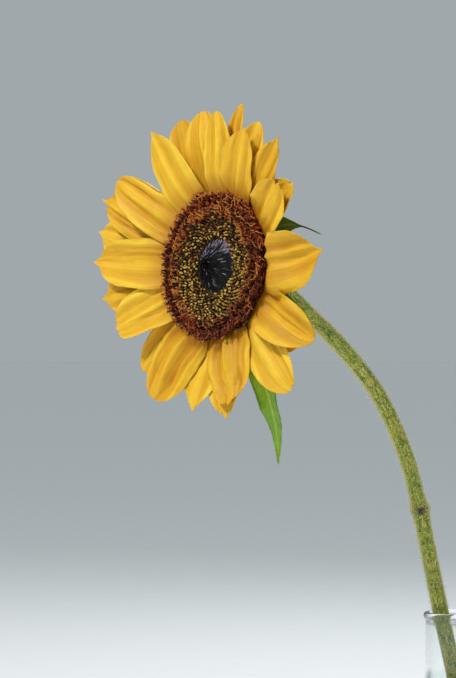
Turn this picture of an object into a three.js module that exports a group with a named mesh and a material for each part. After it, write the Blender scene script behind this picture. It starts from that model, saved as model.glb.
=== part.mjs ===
// A cut sunflower standing in a clear glass bud vase.
// Millimetres, +Z up. The origin is the middle of the vase's flat underside.
// The stem leans out of the vase's mouth, arches over and carries the flower head,
// which faces the -X, -Y corner. Every bract, ray petal and ring of florets is a solid of its own.

import * as THREE from 'three';
import { mergeVertices } from 'three/addons/utils/BufferGeometryUtils.js';

// ---------------------------------------------------------------- driving dimensions

const GAP = 0.3; // between pieces that touch on the real plant

const VASE = {
  height: 155,
  bodyRadius: 39,
  footRadius: 36.5,
  neckRadius: 13,
  lipRadius: 14,
  wall: 2.4,
  baseThickness: 9,
  shoulderStart: 74,
  neckStart: 127,
  lipHeight: 3,
  sides: 36,
};

// Middle of the stem from its cut end in the vase to the back of the flower head.
const STEM = {
  path: [
    [26.5, 12.2, VASE.baseThickness + 1.8],
    [11, 5.5, 80],
    [-6, -2, VASE.height],
    [-11.9, -5, 183],
    [-16.3, -8, 204],
    [-23, -14, 228.5],
    [-36, -24, 257],
    [-53.5, -37, 279.5],
    [-71, -47, 296.5],
    [-85, -56, 309],
  ],
  footRadius: 4.6,
  middleRadius: 4.1,
  neckRadius: 4.7,
  sides: 12,
  leafScarHeight: 204, // the joint left by a fallen leaf
  bendHeight: 268, // where the arch is divided
  scarSwelling: 0.7,
  ringSpacing: 9,
};

const HEAD = {
  centre: new THREE.Vector3(-114.5, -79, 317), // middle of the face of the disk
  turn: 48, // degrees from -Y towards -X
  nod: 4, // degrees above the horizon
  diskRadius: 33.4,
  budRadius: 22.5,
  eyeRadius: 12.4,
  floretDepth: 5,
  thickness: 24, // from the face of the disk to the stem
};

// Ray petals lie in layers, one behind another. A higher layer number is further back.
const PETAL = {
  footRadius: 30.6,
  footDepth: 5.3,
  layerSpacing: 1.7,
  thickness: 0.9,
  footPitch: 20, // degrees in front of the plane of the disk
  tipPitch: 4,
  pitchLossPerLayer: 6,
  tipPower: 0.55,
  stations: [0.02, 0.13, 0.29, 0.46, 0.63, 0.78, 0.9, 0.97],
};

// Azimuth in degrees, anticlockwise from the flower's own right hand as it faces the viewer.
// curl turns the tip forwards (+) or back (-), lean and sway turn its foot and its tip
// sideways, twist turns its blade about its own length, and cup lifts its margins by that
// share of their width.
const PETALS = [
  { azimuth: -1, layer: 0, length: 37, width: 27, curl: -30, sway: 12, twist: 12, cup: 0.16, tipPower: 0.8 },
  { azimuth: 37, layer: 2, length: 28, width: 19, curl: 4, cup: 0.1 },
  { azimuth: 34, layer: 0, length: 27, width: 23, curl: 4, sway: 8, cup: 0.06, tipPower: 0.45 },
  { azimuth: 54, layer: 1, length: 39, width: 17, curl: 2, cup: 0.1, tipPower: 0.9 },
  { azimuth: 71, layer: 2, length: 37, width: 20, cup: 0.06 },
  { azimuth: 72, layer: 0, length: 33, width: 20, cup: 0.06 },
  { azimuth: 85, layer: 3, length: 43, width: 12, cup: 0.1 },
  { azimuth: 91, layer: 1, length: 39, width: 19, cup: 0.06 },
  { azimuth: 103, layer: 2, length: 42, width: 25, cup: 0.04, tipPower: 0.45 },
  { azimuth: 118, layer: 3, length: 46, width: 23, cup: 0.06, tipPower: 0.4 },
  { azimuth: 123, layer: 0, length: 44, width: 21, curl: 3, cup: 0.05, tipPower: 0.8 },
  { azimuth: 148, layer: 0, length: 45, width: 20, cup: 0.1, tipPower: 0.45 },
  { azimuth: 157, layer: 1, length: 53, width: 20, cup: 0.06 },
  { azimuth: 168, layer: 2, length: 55, width: 20, cup: 0.06 },
  { azimuth: 178, layer: 0, length: 47, width: 23, cup: 0.12, tipPower: 0.6 },
  { azimuth: -169, layer: 1, length: 46, width: 20, cup: 0.06 },
  { azimuth: -155, layer: 0, length: 37, width: 23, cup: 0.14, tipPower: 0.45 },
  { azimuth: -136, layer: 2, length: 37, width: 18, cup: 0.06 },
  { azimuth: -118, layer: 0, length: 38, width: 28, cup: -0.06, tipPower: 0.42 },
  { azimuth: -97, layer: 1, length: 36, width: 22, cup: 0.06, tipPower: 0.8 },
  { azimuth: -80, layer: 2, length: 39, width: 23, cup: 0.06, tipPower: 0.7 },
  { azimuth: -74, layer: 0, length: 35, width: 28, curl: -8, sway: 4, cup: -0.04, tipPower: 0.5 },
  { azimuth: -47, layer: 1, length: 45, width: 23, curl: -14, twist: -6, cup: 0.02 },
  { azimuth: -36, layer: 2, length: 31, width: 19, curl: -18, cup: 0.06 },
  { azimuth: -29, layer: 0, length: 40, width: 21, curl: -30, sway: 2, twist: -12, cup: 0.16 },
];

// Bracts clasp the back of the head in rows, the outermost first. The hanging leaf takes one
// place in the outermost row.
const BRACT = {
  width: 12.5,
  thickness: 0.9,
  cup: 0.15,
  stations: [0.03, 0.2, 0.42, 0.64, 0.84],
};

const BRACT_ROWS = [
  { places: 9, azimuthOffset: -8, footRadius: 30.2, footDepth: 13.2, footPitch: -5, curl: -18, length: 21 },
  { places: 9, azimuthOffset: 14, footRadius: 26.8, footDepth: 16, footPitch: -12, curl: -18, length: 20 },
  { places: 7, azimuthOffset: 0, footRadius: 17, footDepth: 20.4, footPitch: -30, curl: 24, length: 20 },
];

const HANGING_LEAF = {
  azimuth: -88,
  footRadius: 28,
  footDepth: 18.2,
  length: 64,
  width: 14,
  thickness: 0.9,
  footPitch: -12,
  curl: 8,
  lean: 38,
  sway: -22,
  twist: 0,
  cup: 0.16,
  stations: [0.03, 0.14, 0.28, 0.42, 0.56, 0.7, 0.84, 0.94],
};

const COLOURS = {
  glass: 0xdfeceb,
  stem: 0x8a9a38,
  bract: 0x4a7a26,
  leaf: 0x76a322,
  receptacle: 0x6c8a30,
  petal: 0xf2b82c,
  openFloret: 0x5a1c12,
  budFloret: 0x8a6a1e,
  eyeFloret: 0x1c1a24,
};

const UP = new THREE.Vector3(0, 0, 1);
const radians = THREE.MathUtils.degToRad;

// ---------------------------------------------------------------- general shapes

// Reverses a closed geometry whose faces point inwards.
function facingOut(geometry) {
  const position = geometry.getAttribute('position');
  const index = geometry.index;
  const [a, b, c] = [new THREE.Vector3(), new THREE.Vector3(), new THREE.Vector3()];
  let sixVolumes = 0;
  for (let i = 0; i < index.count; i += 3) {
    a.fromBufferAttribute(position, index.getX(i));
    b.fromBufferAttribute(position, index.getX(i + 1));
    c.fromBufferAttribute(position, index.getX(i + 2));
    sixVolumes += a.dot(b.cross(c));
  }
  if (sixVolumes < 0) {
    for (let i = 0; i < index.count; i += 3) {
      const second = index.getX(i + 1);
      index.setX(i + 1, index.getX(i + 2));
      index.setX(i + 2, second);
    }
  }
  geometry.computeVertexNormals();
  return geometry;
}

// A closed skin over a run of rings with as many points each, with one point at each end.
function loft(first, rings, last) {
  const sides = rings[0].length;
  const positions = [first, ...rings.flat(), last].flatMap((point) => point.toArray());
  const indices = [];
  const at = (ring, side) => 1 + ring * sides + (side % sides);
  const end = 1 + rings.length * sides;
  for (let side = 0; side < sides; side += 1) {
    indices.push(0, at(0, side + 1), at(0, side));
    indices.push(end, at(rings.length - 1, side), at(rings.length - 1, side + 1));
    for (let ring = 0; ring < rings.length - 1; ring += 1) {
      indices.push(at(ring, side), at(ring, side + 1), at(ring + 1, side));
      indices.push(at(ring, side + 1), at(ring + 1, side + 1), at(ring + 1, side));
    }
  }
  const geometry = new THREE.BufferGeometry();
  geometry.setAttribute('position', new THREE.Float32BufferAttribute(positions, 3));
  geometry.setIndex(indices);
  return facingOut(geometry);
}

// Turns a profile of [radius, height] pairs about the Z axis.
function turned(profile, sides) {
  const points = profile.map(([radius, height]) => new THREE.Vector2(radius, height));
  const lathe = new THREE.LatheGeometry(points, sides).rotateX(Math.PI / 2);
  lathe.deleteAttribute('normal');
  lathe.deleteAttribute('uv');
  return facingOut(mergeVertices(lathe, 1e-4));
}

function solid(name, geometry, colour, roughness = 0.7) {
  const material = new THREE.MeshStandardMaterial({ color: colour, roughness, metalness: 0 });
  const mesh = new THREE.Mesh(geometry, material);
  mesh.name = name;
  return mesh;
}

// ---------------------------------------------------------------- vase

// Radius of the outside of the vase's shoulder, which sweeps from the body into the neck.
function shoulderRadius(share, body, neck) {
  return neck + (body - neck) * (0.5 + 0.5 * Math.cos(Math.PI * share));
}

function makeVase() {
  const { height, bodyRadius, footRadius, neckRadius, lipRadius, wall } = VASE;
  const { baseThickness, shoulderStart, neckStart, lipHeight, sides } = VASE;
  const shoulder = [0.12, 0.25, 0.38, 0.5, 0.62, 0.75, 0.88, 1];
  const sweep = neckStart - shoulderStart;
  const outside = shoulder.map((share) => [
    shoulderRadius(share, bodyRadius, neckRadius),
    shoulderStart + share * sweep,
  ]);
  const inside = shoulder.map((share) => [
    shoulderRadius(share, bodyRadius - wall, neckRadius - wall),
    shoulderStart + share * sweep,
  ]);
  const profile = [
    [0, 0],
    [footRadius, 0],
    [bodyRadius, 3],
    [bodyRadius, shoulderStart],
    ...outside,
    [neckRadius, height - lipHeight - 1],
    [lipRadius, height - lipHeight],
    [lipRadius, height - 0.8],
    [lipRadius - 0.9, height],
    [neckRadius - wall + 0.4, height],
    [neckRadius - wall, height - 1],
    ...inside.reverse(),
    [bodyRadius - wall, shoulderStart],
    [bodyRadius - wall, baseThickness + 3],
    [bodyRadius - wall - 3, baseThickness],
    [0, baseThickness],
  ];
  return solid('vase', turned(profile, sides), COLOURS.glass, 0.05);
}

// ---------------------------------------------------------------- stem

// Direction in which the flower faces.
function headNormal() {
  const turn = radians(HEAD.turn);
  const nod = radians(HEAD.nod);
  return new THREE.Vector3(
    -Math.cos(nod) * Math.sin(turn),
    -Math.cos(nod) * Math.cos(turn),
    Math.sin(nod),
  );
}

function stemCurve() {
  const points = STEM.path.map((place) => new THREE.Vector3(...place));
  points.push(HEAD.centre.clone().addScaledVector(headNormal(), -HEAD.thickness - GAP));
  return new THREE.CatmullRomCurve3(points, false, 'centripetal');
}

// Share of the stem's length at which it reaches a height. The stem climbs all the way.
function shareAtHeight(curve, height) {
  let [low, high] = [0, 1];
  for (let step = 0; step < 30; step += 1) {
    const middle = (low + high) / 2;
    if (curve.getPointAt(middle).z < height) low = middle;
    else high = middle;
  }
  return low;
}

// The stem thins to the top of its arch, swells at the leaf scar, and widens into the head.
function stemRadius(share, scarShare) {
  const thinning = THREE.MathUtils.lerp(STEM.footRadius, STEM.middleRadius, Math.min(1, share / 0.6));
  const neck = THREE.MathUtils.smoothstep(share, 0.86, 1) * (STEM.neckRadius - STEM.middleRadius);
  const swelling = STEM.scarSwelling * Math.exp(-(((share - scarShare) / 0.009) ** 2));
  return thinning + neck + swelling;
}

// A ring of points about a place on the stem, square to its direction.
function stemRing(curve, share, radius) {
  const centre = curve.getPointAt(share);
  const along = share < 1 ? curve.getTangentAt(share) : headNormal();
  const across = new THREE.Vector3().crossVectors(along, UP).normalize();
  const over = new THREE.Vector3().crossVectors(across, along);
  return Array.from({ length: STEM.sides }, (_, side) => {
    const angle = (2 * Math.PI * side) / STEM.sides;
    return centre
      .clone()
      .addScaledVector(across, radius * Math.cos(angle))
      .addScaledVector(over, radius * Math.sin(angle));
  });
}

function stemPiece(name, curve, from, to, scarShare) {
  const steps = Math.ceil(((to - from) * curve.getLength()) / STEM.ringSpacing);
  const shares = Array.from({ length: steps + 1 }, (_, step) => from + ((to - from) * step) / steps);
  const rings = shares.map((share) => stemRing(curve, share, stemRadius(share, scarShare)));
  return solid(name, loft(curve.getPointAt(from), rings, curve.getPointAt(to)), COLOURS.stem);
}

function makeStem() {
  const curve = stemCurve();
  const gapShare = GAP / curve.getLength();
  const scar = shareAtHeight(curve, STEM.leafScarHeight);
  const bend = shareAtHeight(curve, STEM.bendHeight);
  return [
    stemPiece('stem_lower', curve, 0, scar, scar),
    stemPiece('stem_middle', curve, scar + gapShare, bend, scar),
    stemPiece('stem_upper', curve, bend + gapShare, 1, scar),
  ];
}

// ---------------------------------------------------------------- blades

// Half the width of a ray petal, as a share of its greatest: a narrow claw, a broad middle
// and a tip that a low tipPower rounds and a high one sharpens.
function petalOutline(share, { tipPower }) {
  const opening = 0.54 + 0.46 * Math.sin((Math.PI / 2) * Math.min(1, share / 0.55));
  const closing = Math.cos((Math.PI / 2) * Math.max(0, (share - 0.5) / 0.5)) ** tipPower;
  return opening * closing;
}

// A bract is widest near its foot and tapers to a long thin point.
function bractOutline(share) {
  return Math.sin(Math.PI * Math.min(1, 0.2 + share * 0.9)) ** 0.8 * (1 - share) ** 0.35;
}

function leafOutline(share) {
  return Math.sin(Math.PI * (0.1 + 0.9 * share ** 0.9)) ** 0.9 * (1 - share) ** 0.15;
}

// Place and axes of a blade's middle line at a share of its length. The blade sets out along
// +X from the origin, pitched towards +Z.
function bladeFrame(blade, share) {
  const slices = 24;
  const place = new THREE.Vector3();
  const heading = new THREE.Vector3();
  let pitch = 0;
  let yaw = 0;
  for (let slice = 0; slice <= slices; slice += 1) {
    const here = (share * slice) / slices;
    pitch = radians(blade.footPitch + blade.curl * here);
    yaw = radians(blade.lean + blade.sway * here * 2);
    heading.set(Math.cos(pitch) * Math.cos(yaw), Math.cos(pitch) * Math.sin(yaw), Math.sin(pitch));
    if (slice < slices) place.addScaledVector(heading, (blade.length * share) / slices);
  }
  const flat = new THREE.Vector3(-Math.sin(yaw), Math.cos(yaw), 0);
  const above = new THREE.Vector3().crossVectors(heading, flat);
  const turn = radians(blade.twist * share);
  return {
    place,
    side: flat.clone().multiplyScalar(Math.cos(turn)).addScaledVector(above, Math.sin(turn)),
    face: above.clone().multiplyScalar(Math.cos(turn)).addScaledVector(flat, -Math.sin(turn)),
  };
}

// Eight points round a blade: its two sharp margins, and three points above and below.
function bladeRing(blade, share) {
  const { place, side, face } = bladeFrame(blade, share);
  const half = (blade.width / 2) * blade.outline(share, blade);
  const cup = blade.cup * Math.min(1, share / 0.35);
  const point = (across, thickness) => {
    const lift = cup * half * across ** 2 + thickness * (1 - across ** 2);
    return place.clone().addScaledVector(side, half * across).addScaledVector(face, lift);
  };
  const over = blade.thickness / 2;
  return [
    point(-1, 0),
    point(-0.5, over),
    point(0, over),
    point(0.5, over),
    point(1, 0),
    point(0.5, -over),
    point(0, -over),
    point(-0.5, -over),
  ];
}

// A thin blade with sharp margins, from a point at its foot to a point at its tip.
function bladeGeometry(blade) {
  const rings = blade.stations.map((share) => bladeRing(blade, share));
  return loft(bladeFrame(blade, 0).place, rings, bladeFrame(blade, 1).place);
}

// Stands a blade on the head: its foot at a radius and depth, turned to its azimuth.
function bladeOnHead(name, blade, colour) {
  const geometry = bladeGeometry(blade).translate(blade.footRadius, 0, -blade.footDepth);
  const mesh = solid(name, geometry, colour, 0.55);
  mesh.rotation.z = radians(blade.azimuth);
  return mesh;
}

const twoDigits = (number) => String(number).padStart(2, '0');

function makePetals() {
  return PETALS.map((petal, order) => {
    const tipPitch = PETAL.tipPitch - PETAL.pitchLossPerLayer * petal.layer + (petal.curl ?? 0);
    const blade = {
      ...PETAL,
      lean: 0,
      sway: 0,
      twist: 0,
      ...petal,
      curl: tipPitch - PETAL.footPitch,
      footDepth: PETAL.footDepth + PETAL.layerSpacing * petal.layer,
      outline: petalOutline,
    };
    return bladeOnHead(`petal_${twoDigits(order + 1)}`, blade, COLOURS.petal);
  });
}

// Azimuths of a row's bracts, less the one whose place the hanging leaf takes.
function rowAzimuths({ places, azimuthOffset }) {
  const all = Array.from({ length: places }, (_, place) => azimuthOffset + (360 * place) / places);
  return all.filter((azimuth) => Math.cos(radians(azimuth - HANGING_LEAF.azimuth)) < 0.999);
}

function makeBracts() {
  const bracts = BRACT_ROWS.flatMap((row) =>
    rowAzimuths(row).map((azimuth) => ({ ...BRACT, ...row, azimuth, outline: bractOutline })),
  );
  return bracts.map((bract, order) =>
    bladeOnHead(`bract_${twoDigits(order + 1)}`, { lean: 0, sway: 0, twist: 0, ...bract }, COLOURS.bract),
  );
}

// A long leafy bract that hangs below the head.
function makeHangingLeaf() {
  return bladeOnHead('hanging_leaf', { ...HANGING_LEAF, outline: leafOutline }, COLOURS.leaf);
}

// ---------------------------------------------------------------- disk and receptacle

function makeReceptacle() {
  const top = -HEAD.floretDepth - GAP;
  const profile = [
    [0, top],
    [29.6, top],
    [30, top - 1.5],
    [29.4, top - 7],
    [26, top - 9.5],
    [19, top - 12.5],
    [11, top - 15.3],
    [6, -HEAD.thickness],
    [0, -HEAD.thickness],
  ];
  return solid('receptacle', turned(profile, 32), COLOURS.receptacle, 0.8);
}

// The open florets stand tallest and lean out over the feet of the petals.
function makeOpenFlorets() {
  const { diskRadius, budRadius, floretDepth } = HEAD;
  const profile = [
    [budRadius + GAP, -floretDepth],
    [29.8, -floretDepth],
    [diskRadius, -2.3],
    [diskRadius - 0.6, -0.9],
    [diskRadius - 3.2, 0],
    [budRadius + 3, -0.3],
    [budRadius + GAP, -1.2],
    [budRadius + GAP, -floretDepth],
  ];
  return solid('open_florets', turned(profile, 32), COLOURS.openFloret, 0.85);
}

function makeBudFlorets() {
  const { budRadius, eyeRadius, floretDepth } = HEAD;
  const profile = [
    [eyeRadius + GAP, -floretDepth],
    [budRadius, -floretDepth],
    [budRadius, -1.5],
    [budRadius - 3, -1.3],
    [eyeRadius + 2, -1.6],
    [eyeRadius + GAP, -2.1],
    [eyeRadius + GAP, -floretDepth],
  ];
  return solid('bud_florets', turned(profile, 32), COLOURS.budFloret, 0.85);
}

// The unopened middle is a low dome.
function makeEyeFlorets() {
  const { eyeRadius, floretDepth } = HEAD;
  const profile = [
    [0, -floretDepth],
    [eyeRadius, -floretDepth],
    [eyeRadius, -2.6],
    [eyeRadius - 2.5, -1.9],
    [eyeRadius / 2, -1.3],
    [0, -1.1],
  ];
  return solid('eye_florets', turned(profile, 24), COLOURS.eyeFloret, 0.6);
}

// ---------------------------------------------------------------- assembly

function makeHead() {
  const normal = headNormal();
  const right = new THREE.Vector3().crossVectors(UP, normal).normalize();
  const top = new THREE.Vector3().crossVectors(normal, right);
  const head = new THREE.Group();
  head.position.copy(HEAD.centre);
  head.setRotationFromMatrix(new THREE.Matrix4().makeBasis(right, top, normal));
  head.add(makeReceptacle(), makeOpenFlorets(), makeBudFlorets(), makeEyeFlorets());
  head.add(...makePetals());
  head.add(...makeBracts());
  head.add(makeHangingLeaf());
  return head;
}

const sunflower = new THREE.Group();
sunflower.add(makeVase());
sunflower.add(...makeStem());
sunflower.add(makeHead());

export default sunflower;
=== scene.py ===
"""A cut sunflower in a clear glass bud vase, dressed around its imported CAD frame.

Metres, +Z up, the frame's own axes. Every shape here starts from a CAD node: the blades of
the petals, bracts and leaf give the surfaces that are filled with ridges and veins, the
rings of the disk give the beds that the florets stand on, and the stem's rings give the
line that its ridged skin and its hairs follow.
"""

import math
from collections import defaultdict

import bpy
import numpy as np
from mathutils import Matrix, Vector


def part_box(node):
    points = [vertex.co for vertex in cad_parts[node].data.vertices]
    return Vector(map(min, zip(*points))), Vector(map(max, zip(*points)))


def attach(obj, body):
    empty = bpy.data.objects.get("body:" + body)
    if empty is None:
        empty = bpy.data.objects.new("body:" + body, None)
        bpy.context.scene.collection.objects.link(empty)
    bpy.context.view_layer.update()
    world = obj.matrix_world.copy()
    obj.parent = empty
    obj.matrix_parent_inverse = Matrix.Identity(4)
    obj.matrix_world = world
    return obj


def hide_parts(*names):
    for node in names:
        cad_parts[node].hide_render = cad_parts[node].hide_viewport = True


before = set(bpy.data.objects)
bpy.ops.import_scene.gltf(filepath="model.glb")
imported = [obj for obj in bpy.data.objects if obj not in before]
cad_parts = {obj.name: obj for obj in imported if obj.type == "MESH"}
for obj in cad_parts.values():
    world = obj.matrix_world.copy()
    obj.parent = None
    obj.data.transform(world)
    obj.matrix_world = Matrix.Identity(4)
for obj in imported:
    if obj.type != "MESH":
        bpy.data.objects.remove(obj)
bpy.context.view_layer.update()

MM = 0.001
SEED = 41
UP = np.array([0.0, 0.0, 1.0])
GOLDEN_ANGLE = math.pi * (3 - math.sqrt(5))

# ---------------- sizes, in metres, and counts

BLADE_SIDES = 8
STEM_SIDES = 12
WELD = 2e-6

PETAL_THICKNESS = 0.32 * MM
PETAL_ROWS = 66
PETAL_COLUMNS = 41

EYE_SPACING = 0.60 * MM
FLORET_SPACING = 0.80 * MM

FLORET_HEIGHT = 4.3 * MM
BUD_HEIGHT = 3.6 * MM

BRACT_THICKNESS = 0.5 * MM
BRACT_ROWS = 46
BRACT_COLUMNS = 19
LEAF_THICKNESS = 0.45 * MM
LEAF_ROWS = 90
LEAF_COLUMNS = 33

RECEPTACLE_AROUND = 120
VASE_AROUND = 160
STEM_RING_STEP = 0.9 * MM
STEM_AROUND = 72
STEM_HAIRS_PER_MM = 39
STEM_INSET = 0.5 * MM  # how far the skin lies within the CAD stem
STEM_MAP_LENGTH = 0.1  # of stem, for one unit of its "Blade" map

# The leaf scar at the front of the stem: half its width and height on that map.
SCAR_HALF_WIDTH = 0.21
SCAR_HALF_HEIGHT = 0.023

CAMERA_DISTANCE = 1.2
CAMERA_RIGHT_OF_HEAD = 7.8 * MM
CAMERA_BELOW_HEAD = 32.7 * MM
CAMERA_LENS = 134.4
SENSOR = 36.0


# ---------------- reading the CAD nodes

def welded(node):
    """Points and triangles of a CAD node, with its split corners joined again."""
    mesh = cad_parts[node].data
    raw = np.empty(len(mesh.vertices) * 3)
    mesh.vertices.foreach_get("co", raw)
    raw = raw.reshape(-1, 3)
    keys = np.round(raw / WELD).astype(np.int64)
    _, first, back = np.unique(keys, axis=0, return_index=True, return_inverse=True)
    mesh.calc_loop_triangles()
    corners = np.empty(len(mesh.loop_triangles) * 3, np.int32)
    mesh.loop_triangles.foreach_get("vertices", corners)
    return raw[first], back.ravel()[corners].reshape(-1, 3)


def neighbours(triangles):
    near = defaultdict(set)
    for a, b, c in triangles.tolist():
        near[a] |= {b, c}
        near[b] |= {a, c}
        near[c] |= {a, b}
    return near


def in_a_circle(members, near):
    """The members of one ring in order round it."""
    members = set(members)
    walk = [min(members)]
    while len(walk) < len(members):
        onward = [n for n in near[walk[-1]] if n in members and n not in walk]
        walk.append(min(onward))
    return walk


def loft_rings(node, sides):
    """A CAD loft as (end point, array of rings, other end point)."""
    points, triangles = welded(node)
    near = neighbours(triangles)
    poles = [i for i in near if len(near[i]) == sides]
    start, end = poles[0], poles[-1]
    seen = {start, end}
    ring = set(near[start])
    rings = []
    while ring:
        rings.append(points[in_a_circle(ring, near)])
        seen |= ring
        ring = {n for i in ring for n in near[i]} - seen
    return points[start], rings, points[end]


def smooth_interp(x, known_x, known_y):
    """Cubic interpolation through known values, one per row of known_y."""
    known_x = np.asarray(known_x, float)
    known_y = np.asarray(known_y, float)
    slope = np.gradient(known_y, known_x, axis=0)
    i = np.clip(np.searchsorted(known_x, x) - 1, 0, len(known_x) - 2)
    width = known_x[i + 1] - known_x[i]
    t = (x - known_x[i]) / width
    shape = t.shape + (1,) * (known_y.ndim - 1)
    t, width = t.reshape(shape), width.reshape(shape)
    return (
        (1 + 2 * t) * (1 - t) ** 2 * known_y[i]
        + t * (1 - t) ** 2 * width * slope[i]
        + t * t * (3 - 2 * t) * known_y[i + 1]
        + t * t * (t - 1) * width * slope[i + 1]
    )


def clamp(values):
    return np.clip(values, 0, 1)


def bell(values, width):
    """1 where values are 0, and a smooth fall on both sides."""
    return np.exp(-((values / width) ** 2))


def distances(points):
    """Distance walked along a line of points, at each of them."""
    return np.concatenate([[0], np.cumsum(np.linalg.norm(np.diff(points, axis=0), axis=1))])


def round_angles(count):
    """Evenly spaced angles once round."""
    return 2 * np.pi * np.arange(count) / count


def unit(vectors):
    return vectors / np.maximum(np.linalg.norm(vectors, axis=-1, keepdims=True), 1e-12)


class Head:
    """Centre and axes of the flower's disk: right, top, and the normal that faces out."""

    def __init__(self):
        points, _ = welded("open_florets")
        middle = (points.max(0) + points.min(0)) / 2
        back, _ = welded("receptacle")
        self.normal = np.linalg.svd(points - points.mean(0))[2][2]
        if (back.mean(0) - middle) @ self.normal > 0:
            self.normal = -self.normal
        self.right = unit(np.cross(UP, self.normal))
        self.top = np.cross(self.normal, self.right)
        crest = ((points - points.mean(0)) @ self.normal).max()
        self.centre = points.mean(0) + self.normal * crest

    def place(self, radius, angle, height):
        """Points at radii and angles in the plane of the disk, and heights in front of it."""
        radius, angle, height = np.broadcast_arrays(radius, angle, height)
        out = self.right * np.cos(angle)[..., None] + self.top * np.sin(angle)[..., None]
        return self.centre + out * radius[..., None] + self.normal * height[..., None]

    def radii_and_heights(self, node):
        points, _ = welded(node)
        away = points - self.centre
        height = away @ self.normal
        return np.linalg.norm(away - height[:, None] * self.normal, axis=1), height


HEAD = Head()


# ---------------- making meshes

def new_object(name, data):
    made = bpy.data.objects.new(name, data)
    bpy.context.scene.collection.objects.link(made)
    return made


def build_mesh(name, points, quads=(), triangles=(), maps=None, flags=None):
    """A mesh object from arrays. Each map is a pair per point, flags one material index per face."""
    mesh = bpy.data.meshes.new(name)
    points = np.ascontiguousarray(points, np.float32).reshape(-1, 3)
    quads = np.asarray(quads, np.int32).reshape(-1, 4)
    triangles = np.asarray(triangles, np.int32).reshape(-1, 3)
    corners = np.concatenate([quads.ravel(), triangles.ravel()])
    starts = [4 * np.arange(len(quads)), 4 * len(quads) + 3 * np.arange(len(triangles))]
    starts = np.concatenate(starts)
    mesh.vertices.add(len(points))
    mesh.vertices.foreach_set("co", points.ravel())
    mesh.loops.add(len(corners))
    mesh.loops.foreach_set("vertex_index", corners)
    mesh.polygons.add(len(starts))
    mesh.polygons.foreach_set("loop_start", starts.astype(np.int32))
    mesh.polygons.foreach_set("use_smooth", np.ones(len(starts), bool))
    if flags is not None:
        mesh.polygons.foreach_set("material_index", np.asarray(flags, np.int32))
    for label, uv in (maps or {}).items():
        layer = mesh.uv_layers.new(name=label)
        layer.data.foreach_set("uv", np.asarray(uv, np.float32)[corners].ravel())
    mesh.update(calc_edges=True)
    mesh.validate()
    return new_object(name, mesh)


def finish_piece(piece, materials, replaced=()):
    """Gives a piece its materials and ties it to the frame."""
    for material in materials:
        piece.data.materials.append(material)
    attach(piece, "root")
    if replaced:
        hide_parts(*replaced)
    return piece


def grid_quads(rows, columns, closed=False):
    """Quads of a grid of points counted row by row. closed joins each row's ends."""
    row = np.arange(rows - 1)[:, None]
    column = np.arange(columns if closed else columns - 1)[None, :]
    onward = (column + 1) % columns
    a = row * columns + column
    b = row * columns + onward
    return np.stack([a, b, b + columns, a + columns], -1).reshape(-1, 4)


def shell(name, front, back, maps):
    """A thin closed sheet from two grids of points, front faces first."""
    rows, columns = front.shape[:2]
    size = rows * columns
    face = grid_quads(rows, columns)
    index = np.arange(size).reshape(rows, columns)
    edge = np.concatenate([index[0, :-1], index[:-1, -1], index[-1, :0:-1], index[:0:-1, 0]])
    onward = np.roll(edge, -1)
    rim = np.stack([edge, edge + size, onward + size, onward], -1)
    quads = np.concatenate([face, face[:, ::-1] + size, rim])
    points = np.concatenate([front.reshape(-1, 3), back.reshape(-1, 3)])
    flags = np.repeat([0, 1, 0], [len(face), len(face), len(rim)])
    both = {label: np.concatenate([uv.reshape(-1, 2)] * 2) for label, uv in maps.items()}
    return build_mesh(name, points, quads, maps=both, flags=flags)


def tube(rings):
    """Points, quads and cap triangles of a closed skin over rings of points."""
    count, around = rings.shape[:2]
    points = np.concatenate([rings.reshape(-1, 3), [rings[0].mean(0), rings[-1].mean(0)]])
    side = np.arange(around)
    onward = (side + 1) % around
    last = (count - 1) * around
    low = np.full(around, count * around)
    caps = [np.stack([onward, side, low], -1), np.stack([last + side, last + onward, low + 1], -1)]
    return points, grid_quads(count, around, closed=True), np.concatenate(caps)


def circles(first, second, count):
    """Unit circles in the planes of pairs of axes: a row of count points for each pair."""
    angle = round_angles(count)
    cos, sin = np.cos(angle)[None, :, None], np.sin(angle)[None, :, None]
    return first[:, None, :] * cos + second[:, None, :] * sin


class Copies:
    """Many transformed copies of small templates, joined into one mesh."""

    def __init__(self):
        self.points, self.triangles, self.flags, self.count = [], [], [], 0

    def add(self, body, places, axes, scales, flags):
        """body is (points, triangles); axes holds each copy's x, y and z axes as rows."""
        points, triangles = body
        size = len(points)
        moved = np.einsum("pk,nkd->npd", points, axes) * scales[:, None, None]
        moved += places[:, None, :]
        offset = self.count + size * np.arange(len(places))
        self.points.append(moved.reshape(-1, 3))
        self.triangles.append((triangles[None] + offset[:, None, None]).reshape(-1, 3))
        flags = np.asarray(flags)
        each = flags[:, None] if flags.ndim == 1 else flags
        self.flags.append(np.broadcast_to(each, (len(places), len(triangles))).ravel())
        self.count += size * len(places)

    def mesh(self, name):
        points, triangles, flags = map(np.concatenate, (self.points, self.triangles, self.flags))
        return build_mesh(name, points, triangles=triangles, flags=flags)


def template(rings):
    """Rings of points as a closed body of triangles, for Copies."""
    points, quads, caps = tube(rings)
    return points, np.concatenate([quads[:, [0, 1, 2]], quads[:, [0, 2, 3]], caps])


def turned_template(profile, sides, lobes=None):
    """A small closed turned shape, from a profile in millimetres. lobes gives rings whose
    alternate points lie further out and lower, as (times the radius, drop)."""
    rings = []
    angle = round_angles(sides)
    for ring, (radius, height) in enumerate(np.array(profile) * MM):
        reach = np.full(sides, radius)
        rise = np.full(sides, height)
        if lobes and ring in lobes:
            stretch, drop = lobes[ring]
            reach[1::2] *= stretch
            rise[1::2] -= drop * MM
        rings.append(np.stack([reach * np.cos(angle), reach * np.sin(angle), rise], -1))
    return template(np.array(rings))


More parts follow.
